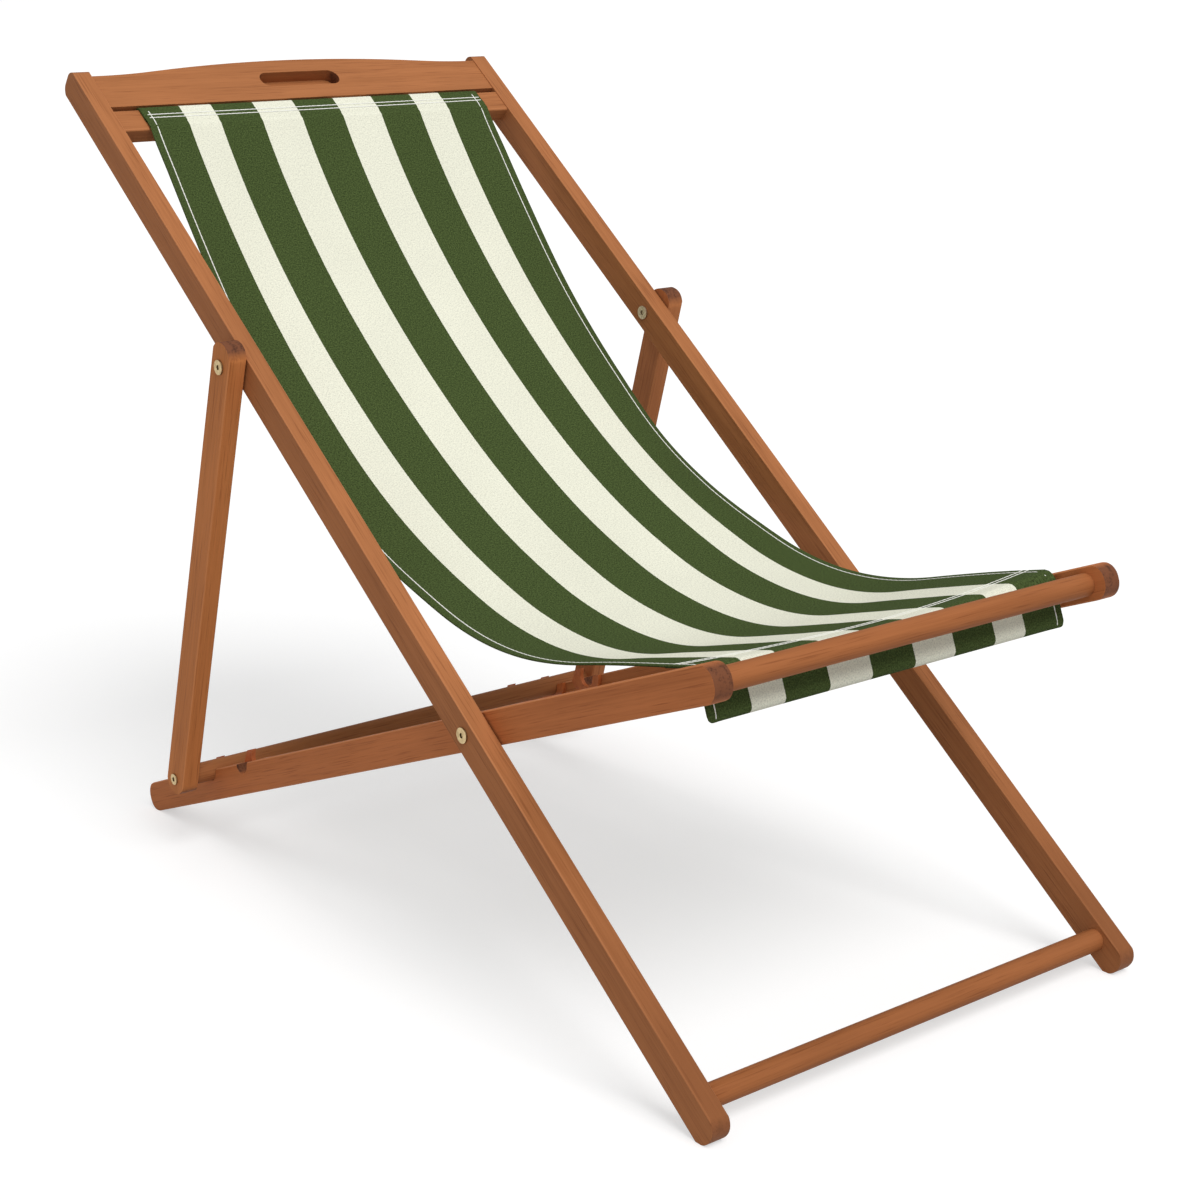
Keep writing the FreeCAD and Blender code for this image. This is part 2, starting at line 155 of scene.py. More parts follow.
# Half the thread's thickness, as a share of the stitch's height.
thread_half = 0.55
# Share along a stitch, and its shares of the full width and height there.
stitch_stations = ((0.0, 0.7, 0.5), (0.14, 0.95, 0.9), (0.5, 1.0, 1.0), (0.86, 0.95, 0.9), (1.0, 0.7, 0.5))

# Cloth, as a mesh: the spacing of its rows and columns, with distances from the edge in the hem.
row_spacing = 0.0055
row_turn = 12.0
least_run = 1e-5
almost_whole_turn = 359.99
hem_columns = (0.0, 0.00025, 0.0007, 0.0015, 0.003, 0.0055, 0.0078, 0.0086, hem_stitch)
past_hem_columns = (0.0098, 0.0106, 0.0125, 0.016)
column_spacing = 0.010
middle_gap = 0.001

# Colours.
green = (0.057, 0.083, 0.0255, 1)
cream = (0.80, 0.80, 0.665, 1)
thread_shades = ((0.80, 0.80, 0.74, 1), (0.90, 0.90, 0.85, 1))
brass_shades = ((0.46, 0.34, 0.17, 1), (0.66, 0.51, 0.28, 1))
nut_shades = ((0.78, 0.60, 0.42, 1), (0.92, 0.76, 0.58, 1))
# Painted shade for the brass's hollows.
painted_hollow_shade = (0.045, 0.026, 0.010, 1)
moulding_shades = ((0.50, 0.125, 0.036, 1), (0.64, 0.190, 0.058, 1))
end_grain_shades = ((0.085, 0.032, 0.017, 1), (0.185, 0.066, 0.030, 1))
wood_colour = (0.400, 0.150, 0.054)

# Tints of the wood, and the tones of the pieces whose wood is drawn lighter or darker than plain; the left
# prop leg is drawn darker than the right.
light_tint = (1.13, 1.15, 1.18)
dark_tint = (0.82, 0.78, 0.74)
streak_tint = (0.55, 0.47, 0.42)
# Paler arris: partly wear, partly a painted highlight along the eased edge.
edge_wear_and_highlight_tint = (1.5, 1.6, 1.8)
# Painted shade on the low front and rear faces of the back rails.
foot_shade_tint = (0.50, 0.46, 0.44)
plain_tone = (1.0, 1.0, 1.0)
wood_tones = {
    "seat_rail_right": (1.30, 1.14, 1.04),
    "seat_rail_left": (1.30, 1.14, 1.04),
    "prop_leg_right": (1.34, 1.26, 1.08),
    "prop_leg_left": (1.16, 1.13, 1.12),
    "head_rail": (0.97, 0.97, 0.97),
    "foot_stretcher": (0.82, 0.76, 0.70),
    "front_dowel": (0.91, 0.84, 0.78),
}
# Painted shade low on a back rail's front and rear faces, standing in for the shade under the seat: the
# heights where it ends and is full, its share, and the end grain's share.
foot_shade_top = 0.18
foot_shade_full = 0.07
foot_shade_share = 0.70
standing_end_share = 0.55
# Step in the grain from one piece of timber to the next.
timber_step = (3.7, 1.9, 5.3)

# Studio.
floor_reach = 40.0
floor_colour = (0.52, 0.52, 0.52, 1)
floor_glow = 0.55
white = (1, 1, 1, 1)
sky_strength = 0.48
sun_strength = 2.1
sun_width = 36
sun_towards = (-0.05, -0.66, 0.93)


class Line:
    """A line in the side view, from a point (y, z) and along an angle."""

    def __init__(self, origin, angle):
        self.origin = origin
        self.angle = angle
        self.cos = math.cos(math.radians(angle))
        self.sin = math.sin(math.radians(angle))

    def at(self, along, across):
        y = self.origin[0] + along * self.cos - across * self.sin
        z = self.origin[1] + along * self.sin + across * self.cos
        return (y, z)

    def measure(self, y, z):
        forward = y - self.origin[0]
        upward = z - self.origin[1]
        return (forward * self.cos + upward * self.sin, upward * self.cos - forward * self.sin)

    def extent(self, node):
        """Lowest and highest (along, across) of a CAD node."""
        places = [self.measure(v.co.y, v.co.z) for v in frame["nodes"][node].data.vertices]
        alongs, acrosses = zip(*places)
        return (min(alongs), min(acrosses)), (max(alongs), max(acrosses))


def middle(node):
    low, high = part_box(node)
    return ((low.y + high.y) / 2, (low.z + high.z) / 2)


def joint_place(name):
    place = next(joint["pos_m"] for joint in frame["joints"] if joint["name"] == name)
    return (place[1], place[2])


def slope_between(a, b):
    return math.degrees(math.atan2(b[1] - a[1], b[0] - a[0]))


main_pivot = joint_place("seat_fold")
prop_pivot = joint_place("prop_fold")
back = Line(main_pivot, slope_between(main_pivot, prop_pivot))
seat = Line(main_pivot, slope_between(middle("front_dowel"), main_pivot))


# The cloth's path: a belt that goes round circles in the side view.
def heading(angle):
    return (math.cos(math.radians(angle)), math.sin(math.radians(angle)))


def step(place, distance, angle):
    y, z = heading(angle)
    return (place[0] + distance * y, place[1] + distance * z)


def hanging_circles(leave_hub, leave_radius, arrive_hub, arrive_radius):
    """Centres of the hanging cloth's two curves, between the top rail's lower edge and the front edge."""
    leaving = 180 + back_slope_of_cloth
    turning = 180 + turn_slope_of_cloth
    arriving = 180 - seat_slope_of_cloth
    start = step(leave_hub, leave_radius, leaving - 90)
    end = step(arrive_hub, arrive_radius, arriving - 90)
    # The curves turn to the right, so each centre is on the right of the path.
    shift_y = shift_z = 0.0
    for radius, first, last in (
        (back_curve_radius, leaving, turning),
        (seat_curve_radius, turning, arriving),
    ):
        into, out = heading(first - 90), heading(last - 90)
        shift_y += radius * (into[0] - out[0])
        shift_z += radius * (into[1] - out[1])
    rest_y = end[0] - start[0] - shift_y
    rest_z = end[1] - start[1] - shift_z
    down, up = heading(leaving), heading(arriving)
    cross = down[0] * up[1] - down[1] * up[0]
    back_run = (rest_y * up[1] - rest_z * up[0]) / cross
    back_centre = step(step(start, back_run, leaving), back_curve_radius, leaving - 90)
    seat_centre = step(back_centre, back_curve_radius - seat_curve_radius, turning + 90)
    return back_centre, seat_centre


def run_angles(circles):
    """Angle of the straight run from each circle to the next."""
    angles = []
    for (first, radius, turn), (second, next_radius, next_turn) in zip(circles, circles[1:]):
        apart = math.hypot(second[0] - first[0], second[1] - first[1])
        lean = (next_turn * next_radius - turn * radius) / apart
        angles.append(slope_between(first, second) - math.degrees(math.asin(max(-1, min(1, lean)))))
    return angles


def belt(circles):
    """Samples (length, y, z, angle) along the path round the circles (centre, radius, left or right turn)."""
    angles = run_angles(circles)
    samples = []
    length = 0.0
    for index, angle in enumerate(angles):
        centre, radius, turn = circles[index]
        if index:
            swing = (angle - angles[index - 1]) * turn % 360
            # All but a whole turn is a tiny turn the other way.
            swing = turn * (swing - 360 if swing > almost_whole_turn else swing)
            arc = abs(math.radians(swing)) * radius
            parts = max(2, math.ceil(abs(swing) / row_turn), math.ceil(arc / row_spacing))
            for part in range(1, parts + 1):
                now = angles[index - 1] + swing * part / parts
                place = step(centre, turn * radius, now - 90)
                samples.append((length + arc * part / parts, *place, now))
            length += arc
        start = step(centre, turn * radius, angle - 90)
        after, next_radius, next_turn = circles[index + 1]
        end = step(after, next_turn * next_radius, angle - 90)
        run = math.hypot(end[0] - start[0], end[1] - start[1])
        if not samples:
            samples.append((0.0, *start, angle))
        if run < least_run:
            continue
        parts = max(1, math.ceil(run / row_spacing))
        for part in range(1, parts + 1):
            share = part / parts
            place = (start[0] + (end[0] - start[0]) * share, start[1] + (end[1] - start[1]) * share)
            samples.append((length + run * share, *place, angle))
        length += run
    return unwound(samples)


def unwound(samples):
    """The same samples, with angles that don't jump by whole turns."""
    result = samples[:1]
    for *place, angle in samples[1:]:
        change = (angle - result[-1][-1] + 180) % 360 - 180
        result.append((*place, result[-1][-1] + change))
    return result


# The cloth's inner and outer layers stand off what they go round by these distances.
inner = cloth_clearance + cloth_thickness / 2
outer = inner + cloth_thickness
loop_radius = rod_radius + inner

rail_low, rail_high = back.extent("sling_top_rail")
rail_top, rail_front = rail_high
rail_bottom, rail_rear = rail_low
top_hub = back.at(rail_top - rail_edge_radius, rail_front - rail_edge_radius)
rear_hub = back.at(rail_top - rail_edge_radius, rail_rear + rail_edge_radius)
lower_hub = back.at(rail_bottom + rail_edge_radius, rail_front - rail_edge_radius)
overlap_end = rail_top - rail_edge_radius - sleeve_overlap_top

seat_low, seat_high = seat.extent("seat_sling_rail")
seat_front, seat_top = seat_low[0], seat_high[1]
front_hub = seat.at(seat_front + front_edge_radius, seat_top - front_edge_radius)
top_rod = middle("top_sling_rod")
front_rod = middle("front_sling_rod")
front_rod_across = seat.measure(*front_rod)[1]

back_centre, seat_centre = hanging_circles(
    lower_hub, rail_edge_radius + inner, front_hub, front_edge_radius + outer
)
front_arriving = 180 - seat_slope_of_cloth
front_turn = 90 + seat_slope_of_cloth + seat.angle
front_landing = step(front_hub, front_edge_radius + inner, front_arriving - 90)
front_end = step(front_landing, sleeve_overlap_front, front_arriving + 180)

circles = [
    (back.at(overlap_end, rail_front + inner), 0.0, LEFT),
    (top_hub, rail_edge_radius + inner, RIGHT),
    (rear_hub, rail_edge_radius + inner, RIGHT),
    (top_rod, loop_radius, LEFT),
    (back.at(rail_top + outer + top_turn_radius, rail_rear + top_turn_inset), top_turn_radius, RIGHT),
    (top_hub, rail_edge_radius + outer, LEFT),
    (back.at(overlap_end - step_inset, rail_front + outer - step_radius), step_radius, LEFT),
    (back.at(overlap_end - landing_inset, rail_front + inner + landing_radius), landing_radius, RIGHT),
    (lower_hub, rail_edge_radius + inner, LEFT),
    (back_centre, back_curve_radius, RIGHT),
    (seat_centre, seat_curve_radius, RIGHT),
    (front_hub, front_edge_radius + outer, LEFT),
    (front_rod, loop_radius, LEFT),
    (
        seat.at(seat_front - inner + sleeve_turn_radius, front_rod_across + sleeve_turn_rise),
        sleeve_turn_radius,
        RIGHT,
    ),
    (front_hub, front_edge_radius + inner, RIGHT),
    (front_end, 0.0, LEFT),
]
path = belt(circles)
path_length = path[-1][0]


def nearest_length(place, low, high):
    """Length along the path, between two lengths, at its nearest sample to a point of the side view."""
    choice = [s for s in path if low <= s[0] <= high]
    return min(choice, key=lambda s: math.hypot(s[1] - place[0], s[2] - place[1]))[0]


# Lengths along the path where its parts begin and end.
lower_edge = step(lower_hub, rail_edge_radius + inner, 90 + back_slope_of_cloth)
front_edge = step(front_hub, front_edge_radius + outer, front_arriving - 90)
hang_start = nearest_length(lower_edge, second_pass_start, second_pass_end)
hang_end = nearest_length(front_edge, path_length / 2, path_length - front_return)
stem_start = hang_end + (front_edge_radius + outer) * math.radians(front_turn)
stem_end = path_length - sleeve_overlap_front - (front_edge_radius + inner) * math.radians(front_turn)
loop_bottom = nearest_length(step(front_rod, loop_radius, seat.angle - 90), hang_end, path_length)
top_loop_back = nearest_length(step(top_rod, loop_radius, back.angle - 90), 0.0, second_pass_start)


def smooth(value):
    value = max(0.0, min(1.0, value))
    return value * value * (3 - 2 * value)


def bump(value, centre, reach):
    return smooth(1 - abs(value - centre) / reach)


def curve_through(knots, value):
    """Smooth curve through (value, height) knots, level before the first and after the last."""
    places = [place for place, _ in knots]
    heights = [height for _, height in knots]
    if value <= places[0]:
        return heights[0]
    if value >= places[-1]:
        return heights[-1]
    index = next(i for i, place in enumerate(places) if place > value) - 1

    def slope(i):
        if i in (0, len(knots) - 1):
            return 0.0
        return (heights[i + 1] - heights[i - 1]) / (places[i + 1] - places[i - 1])

    width = places[index + 1] - places[index]
    t = (value - places[index]) / width
    first = heights[index] * (1 + 2 * t) + slope(index) * width * t
    second = heights[index + 1] * (3 - 2 * t) - slope(index + 1) * width * (1 - t)
    return first * (1 - t) ** 2 + second * t ** 2


def hang_share(length):
    return (length - hang_start) / (hang_end - hang_start)


def front_fade(length, angle):
    """Share of a lift left round the front edge: none on the sleeve, and reversed on the layer under."""
    if length <= hang_end:
        return 1.0
    if stem_start <= length <= stem_end:
        return 0.0
    # Both layers go round the edge between the same two directions, one of them backwards. A degree of slack
    # keeps an angle just short of the first direction from counting as half a turn.
    turned = ((angle - front_arriving + 1) % 180 - 1) / front_turn
    side = 1 if length < loop_bottom else -1
    return side * smooth(1 - turned)


def stand_off(length, x, angle):
    """How far the cloth stands off its hanging line, on the face that looks to the sitter."""
    share = hang_share(length)
    top_fade = smooth(1 - (hang_start - length) / lift_fade)
    front_curve = smooth((share - power_change_start) / power_change_run)
    power = knee_power + (front_power - knee_power) * front_curve
    towards_edge = (abs(x) / (cloth_width / 2)) ** power
    middle_part = curve_through(middle_lifts, share) * (1 - towards_edge)
    edge_part = curve_through(edge_lifts, share) * towards_edge
    if x < 0:
        edge_part *= 1 - right_corner_sag * smooth((share - corner_sag_start) / corner_sag_run)
    return (middle_part + edge_part) * top_fade * front_fade(length, angle)


def pinched(x, y, z):
    """The place where the sleeve's cloth lies: flat past the end of its rod."""
    past = smooth((abs(x) - rod_half_length) / sleeve_pinch)
    along, across = seat.measure(y, z)
    behind = along - (seat_front - outer)
    doubled = min(behind, cloth_thickness)
    return seat.at(seat_front - outer + doubled + (behind - doubled) * (1 - past), across)


def half_width(length):
    """Half the cloth's width, drawn in round the bottom of each sleeve's ends."""
    width = cloth_width / 2
    for fold in (loop_bottom, top_loop_back):
        into = sleeve_corner - abs(length - fold)
        if into > 0:
            width -= sleeve_corner - math.sqrt(max(0.0, sleeve_corner ** 2 - into ** 2))
    return width


def path_at(length):
    """Place (y, z) and angle of the path at a length along it."""
    low, high = 0, len(path) - 1
    while high - low > 1:
        mid = (low + high) // 2
        if path[mid][0] <= length:
            low = mid
        else:
            high = mid
    a, b = path[low], path[high]
    share = (length - a[0]) / (b[0] - a[0])
    return [p + (q - p) * share for p, q in zip(a[1:], b[1:])]


def cloth_point(length, x, offset):
    """A point of the cloth, off its middle layer by an offset towards the sitter."""
    y, z, angle = path_at(length)
    if stem_start < length < stem_end:
        y, z = pinched(x, y, z)
    out = heading(angle - 90)
    stand = offset + stand_off(length, x, angle)
    return Vector((x, y + out[0] * stand, z + out[1] * stand))


def side_columns():
    """Distances from the cloth's edge, close together in the hem."""
    columns = [*hem_columns, *past_hem_columns]
    while columns[-1] + column_spacing + middle_gap < cloth_width / 2:
        columns.append(columns[-1] + column_spacing)
    return columns


def faces_off(distance, length):
    """How far the cloth's two faces stand off its middle layer, at a distance from the edge."""
    half = cloth_thickness / 2
    hang = smooth((length - hang_start) / lift_fade) * smooth((hang_end - length) / lift_fade)
    fold = hem_fold * hang * smooth((hem_stitch + hem_fold_past - distance) / hem_fold_run)
    dip = stitch_dip * math.exp(-(((distance - hem_stitch) / stitch_dip_reach) ** 2))
    puff = hem_puff * hang * bump(distance, hem_stitch / 2, hem_stitch / 2)
    over = half + puff - dip
    under = half + fold - dip
    rounding = (over + under) / 2
    if distance < rounding:
        close = math.sqrt(max(0.0, 1 - (1 - distance / rounding) ** 2))
        centre = (over - under) / 2
        over, under = centre + rounding * close, rounding * close - centre
    return over, under


def new_object(name, points, faces, uvs=None):
    mesh = bpy.data.meshes.new(name)
    mesh.from_pydata(points, [], faces)
    if uvs:
        layer = mesh.uv_layers.new(name="cloth")
        for loop in mesh.loops:
            layer.data[loop.index].uv = uvs[loop.vertex_index]
    mesh.update()
    mesh.shade_smooth()
    made = bpy.data.objects.new(name, mesh)
    scene.collection.objects.link(made)
    return made


def stripe_place(length, x):
    """Where a point of the cloth is in its stripes, which run a little aslant near the top and the front."""
    inside = 1 - (abs(x) / (cloth_width / 2)) ** drift_power
    top_drift = stripe_drift * smooth(1 - hang_share(length) / drift_share)
    front_drift = sleeve_drift * smooth((length - hang_end) / (stem_start - hang_end))
    return (x + (top_drift + front_drift) * inside, length)


def cloth_ring(length, columns):
    """Points round the cloth at a length along it, over one face and back under, with their stripe places."""
    half = half_width(length)
    over_row = [(-half + d, d) for d in columns] + [(0.0, half)]
    over_row += [(half - d, d) for d in reversed(columns)]
    under_row = over_row[-2:0:-1]
    points = [cloth_point(length, x, faces_off(d, length)[0]) for x, d in over_row]
    points += [cloth_point(length, x, -faces_off(d, length)[1]) for x, d in under_row]
    return points, [stripe_place(length, x) for x, _ in over_row + under_row]


def end_strip(base, ring_size, across, flip):
    """Faces that close an end of the cloth, between its two faces."""
    faces = []
    for index in range(across - 1):
        low_a = (ring_size - index) % ring_size
        low_b = ring_size - index - 1
        corners = [base + index, base + index + 1, base + low_b, base + low_a]
        corners = list(dict.fromkeys(corners))
        if len(corners) > 2:
            faces.append(tuple(reversed(corners)) if flip else tuple(corners))
    return faces


def make_cloth():
    """The sling as one closed cloth, with its hems and both sleeves."""
    columns = side_columns()
    points, uvs, faces = [], [], []
    for length, *_ in path:
        ring, ring_uvs = cloth_ring(length, columns)
        points += ring
        uvs += ring_uvs
    ring_size = len(ring)
    last = (len(path) - 1) * ring_size
    for base in range(0, last, ring_size):
        up = base + ring_size
        for index in range(ring_size):
            after = (index + 1) % ring_size
            faces.append((base + index, up + index, up + after, base + after))
    across = 2 * len(columns) + 1
    faces += end_strip(0, ring_size, across, False)
    faces += end_strip(last, ring_size, across, True)
    return new_object("sling_cloth", points, faces, uvs)


def add_stitch(points, faces, start, end, out):
    """One stitch: a short thread that dives into the cloth at both ends."""
    along = end - start
    across = along.normalized().cross(out) * (stitch_width / 2)
    rise = out * stitch_height
    base = len(points)
    for share, wide, high in stitch_stations:
        middle_place = start + along * share
        for side in range(stitch_sides):
            turn = 2 * math.pi * side / stitch_sides
            lift = high - thread_half + thread_half * math.sin(turn)
            points.append(middle_place + across * wide * math.cos(turn) + rise * lift)
    for station in range(len(stitch_stations) - 1):
        for side in range(stitch_sides):
            a = base + station * stitch_sides + side
            b = base + station * stitch_sides + (side + 1) % stitch_sides
            faces.append((a, b, b + stitch_sides, a + stitch_sides))
    last = base + (len(stitch_stations) - 1) * stitch_sides
    faces.append(tuple(base + side for side in reversed(range(stitch_sides))))
    faces.append(tuple(last + side for side in range(stitch_sides)))


def stitch_rows():
    """Each row of stitches, as places (length, x) at its two ends."""
    rows = []
    side_x = cloth_width / 2 - hem_stitch
    top_turn = nearest_length(back.at(overlap_end, rail_front + outer), second_pass_start, second_pass_end)
    for x in (-side_x, side_x):
        rows.append([(top_turn - sleeve_overlap_top, x), (loop_bottom - hem_stitch / 2, x)])
    lengths = [top_turn - inset for inset in top_row_insets]
    lengths += [hang_end - inset for inset in front_row_insets]
    for length in lengths:
        rows.append([(length, -cloth_width / 2 + row_margin), (length, cloth_width / 2 - row_margin)])
    return rows


def make_stitches():
    """All rows of stitches, on both faces where the cloth is single."""
    points, faces = [], []
    for (length_a, x_a), (length_b, x_b) in stitch_rows():
        size = math.hypot(length_b - length_a, x_b - x_a)
        count = int(size / stitch_pitch)
        for index in range(count):
            begin = (index + 0.5) * stitch_pitch / size
            finish = begin + stitch_length / size
            place_a = (length_a + (length_b - length_a) * begin, x_a + (x_b - x_a) * begin)
            place_b = (length_a + (length_b - length_a) * finish, x_a + (x_b - x_a) * finish)
            single = hang_start < place_a[0] < hang_end - sleeve_overlap_front
            for face in (1, -1) if single else (1,):
                spots = []
                for length, x in (place_a, place_b):
                    over, under = faces_off(cloth_width / 2 - abs(x), length)
                    spots.append(cloth_point(length, x, over if face > 0 else -under))
                out = heading(path_at(place_a[0])[2] - 90)
                add_stitch(points, faces, *spots, Vector((0, out[0], out[1])) * face)
    return new_object("sling_stitching", points, faces)


# Materials.
def add(tree, kind, inputs=None, **settings):
    """A node with its settings, and its inputs set or linked."""
    node = tree.nodes.new(kind)
    for name, value in settings.items():
        setattr(node, name, value)
    for name, value in (inputs or {}).items():
        socket = node.inputs[name]
        if isinstance(value, bpy.types.NodeSocket):
            tree.links.new(value, socket)
        else:
            socket.default_value = value
    return node


def new_material(name):
    material = bpy.data.materials.new(name)
    material.use_nodes = True
    tree = material.node_tree
    tree.nodes.clear()
    output = tree.nodes.new("ShaderNodeOutputMaterial")
    shader = tree.nodes.new("ShaderNodeBsdfPrincipled")
    tree.links.new(shader.outputs["BSDF"], output.inputs["Surface"])
    return material, tree, shader


def math_node(tree, operation, a, b=0.0):
    return add(tree, "ShaderNodeMath", {0: a, 1: b}, operation=operation).outputs["Value"]


def mix_colour(tree, factor, a, b, blend_type="MIX"):
    # The node's sockets go by number, because those for colours share their names with others.
    inputs = {0: factor, 6: a, 7: b}
    return add(tree, "ShaderNodeMix", inputs, data_type="RGBA", blend_type=blend_type).outputs[2]


def ramp(tree, factor, stops, interpolation="LINEAR"):
    node = add(tree, "ShaderNodeValToRGB", {"Fac": factor})
    node.color_ramp.interpolation = interpolation
    elements = node.color_ramp.elements
    while len(elements) > 1:
        elements.remove(elements[-1])
    elements[0].position, elements[0].color = stops[0]
    for position, colour in stops[1:]:
        elements.new(position).color = colour
    return node.outputs["Color"]


def grey(value):
    return (value, value, value, 1)


def noise(tree, coordinates, stretch, detail=3.0, roughness=0.55, shift=(0, 0, 0)):
    mapped = add(tree, "ShaderNodeMapping", {"Vector": coordinates, "Scale": stretch, "Location": shift})
    made = add(
        tree,
        "ShaderNodeTexNoise",
        {"Vector": mapped.outputs["Vector"], "Scale": 1.0, "Detail": detail, "Roughness": roughness},
    )
    return made.outputs["Fac"]


def scaled(tree, value, share, base):
    """A share of a value, on top of a base."""
    return math_node(tree, "ADD", math_node(tree, "MULTIPLY", value, share), base)


def weighted(tree, a, share_a, b, share_b):
    return scaled(tree, a, share_a, math_node(tree, "MULTIPLY", b, share_b))


def add_relief(tree, shader, height, strength, distance):
    relief = add(tree, "ShaderNodeBump", {"Height": height, "Strength": strength, "Distance": distance})
    tree.links.new(relief.outputs["Normal"], shader.inputs["Normal"])


def tinted(colour, tone):
    return tuple(c * t for c, t in zip(colour, tone)) + (1,)


def facing(tree, normal, direction):
    """How squarely a face looks along a direction, either way."""
    dot = add(tree, "ShaderNodeVectorMath", {0: normal, 1: direction}, operation="DOT_PRODUCT")
    return math_node(tree, "ABSOLUTE", dot.outputs["Value"])


def side_view(angle):
    """Directions along an angle of the side view, and square to it."""
    y, z = heading(angle)
    return (0, y, z), (0, -z, y)


def long_grain(tree, grain_place, tone, shift):
    """Colour of wood along its grain, with its fibres and short dark streaks."""
    bands = noise(tree, grain_place, (95, 3.2, 95), detail=3.0, roughness=0.55, shift=shift)
    fibres = noise(tree, grain_place, (620, 9, 620), detail=4.0, roughness=0.62, shift=shift)
    streaks = noise(tree, grain_place, (720, 17, 720), detail=2.0, roughness=0.5, shift=shift)
    clouds = noise(tree, grain_place, (11, 5, 11), detail=2.0, roughness=0.5, shift=shift)
    mixed = weighted(tree, bands, 0.5, fibres, 0.5)
    medium = tinted(wood_colour, tone)
    light = tinted(medium, light_tint)
    dark = tinted(medium, dark_tint)
    base = ramp(tree, mixed, ((0.30, dark), (0.50, medium), (0.70, light)))
    streak_mask = ramp(tree, streaks, ((0.29, grey(1)), (0.43, grey(0))))
    streak_share = math_node(tree, "MULTIPLY", streak_mask, 0.62)
    streaked = mix_colour(tree, streak_share, base, tinted(medium, streak_tint))
    shade = ramp(tree, clouds, ((0.3, grey(0.92)), (0.7, grey(1.06))))
    return mix_colour(tree, 1.0, streaked, shade, "MULTIPLY"), fibres, streak_mask


def end_grain(tree, grain_place, shift):
    """Colour of wood across its grain: specks and parts of rings."""
    specks = noise(tree, grain_place, (520, 420, 520), detail=2.0, roughness=0.5, shift=shift)
    rings = noise(tree, grain_place, (170, 40, 60), detail=2.0, roughness=0.5, shift=shift)
    dark, light = end_grain_shades
    return ramp(tree, weighted(tree, specks, 0.4, rings, 0.6), ((0.36, dark), (0.50, light)))


def painted_foot_shade(tree, place, front):
    """Share of painted shade on the front and rear faces of a rail, low down where it stands on the floor,
    standing in for the shade under the seat.
    """
    split = add(tree, "ShaderNodeSeparateXYZ", {"Vector": place.outputs["Object"]})
    low = ramp(tree, split.outputs["Z"], ((foot_shade_full, grey(foot_shade_share)), (foot_shade_top, grey(0))))
    return math_node(tree, "MULTIPLY", low, front)


def wood(name, angle, along_x, squared, tone, seed, standing):
    """Oiled hardwood with its grain along x, or at an angle in the side view.

    The long edges of a squared piece are paler, as wear and as a painted highlight, and a standing piece has
    painted shade low on its front and rear faces, darker at its foot.
    """
    material, tree, shader = new_material(name)
    place = tree.nodes.new("ShaderNodeTexCoord")
    normal = place.outputs["Normal"]
    along, across = side_view(angle)
    turn = (0, 0, math.radians(90)) if along_x else (-math.radians(angle), 0, 0)
    turned = add(tree, "ShaderNodeMapping", {"Vector": place.outputs["Object"], "Rotation": turn})
    grain_place = turned.outputs["Vector"]
    shift = tuple(seed * step_size for step_size in timber_step)
    colour, fibres, streak_mask = long_grain(tree, grain_place, tone, shift)
    if squared:
        sideways = along if along_x else (1, 0, 0)
        edge = math_node(tree, "MULTIPLY", facing(tree, normal, sideways), facing(tree, normal, across))
        # The arris faces are drawn paler, partly as wear and partly as a painted highlight along the eased
        # edge.
        worn = ramp(tree, edge, ((0.12, grey(0)), (0.45, grey(0.5))))
        colour = mix_colour(tree, worn, colour, tinted(wood_colour, edge_wear_and_highlight_tint))
    # Painted shade low on a back rail's front and rear faces, standing in for the shade under the seat.
    if standing:
        low_shade = painted_foot_shade(tree, place, facing(tree, normal, across))
        colour = mix_colour(tree, low_shade, colour, tinted(wood_colour, foot_shade_tint))
    looking_along = facing(tree, normal, (1, 0, 0) if along_x else along)
    end_share = standing_end_share if standing else 1
    end_mask = ramp(tree, looking_along, ((0.20, grey(0)), (0.75, grey(end_share))))
    colour = mix_colour(tree, end_mask, colour, end_grain(tree, grain_place, shift))
    tree.links.new(colour, shader.inputs["Base Color"])
    tree.links.new(scaled(tree, fibres, share=0.22, base=0.50), shader.inputs["Roughness"])
    height = math_node(tree, "SUBTRACT", math_node(tree, "MULTIPLY", fibres, 0.6), streak_mask)
    add_relief(tree, shader, height, strength=0.30, distance=0.0002)
    shader.inputs["Specular IOR Level"].default_value = 0.12
    return material


def stripe_mask(tree, across, ragged):
    """One in the cream stripes and nought in the green, with slightly ragged edges."""
    wander = math_node(tree, "MULTIPLY", math_node(tree, "SUBTRACT", ragged, 0.5), stripe_wander)
    from_middle = math_node(tree, "ADD", math_node(tree, "ABSOLUTE", across), wander)
    share = math_node(tree, "DIVIDE", from_middle, cloth_width / 2)
    stops = [(0.0, grey(0))]
    for index, edge in enumerate(stripe_edges):
        stops.append((edge / (cloth_width / 2), grey((index + 1) % 2)))
    return ramp(tree, share, stops, "CONSTANT")


def woven(tree, across, along):
    """Warp and weft threads that go over and under each other."""
    warp = math_node(tree, "SINE", math_node(tree, "MULTIPLY", across, 2 * math.pi / thread_pitch))
    weft = math_node(tree, "SINE", math_node(tree, "MULTIPLY", along, 2 * math.pi / thread_pitch))
    return math_node(tree, "MULTIPLY", warp, weft)


def uneven_yarn(tree, place, mottle, weave):
    """Slubs along both threads, with a fine mottle and a little of the weave."""
    slubs = noise(tree, place, (1300, 260, 1), detail=3.0, roughness=0.6)
    cross_slubs = noise(tree, place, (260, 1300, 1), detail=3.0, roughness=0.6, shift=(7, 3, 0))
    both = math_node(tree, "ADD", slubs, cross_slubs)
    return weighted(tree, weighted(tree, both, 0.25, mottle, 0.7), 1.0, weave, 0.05)


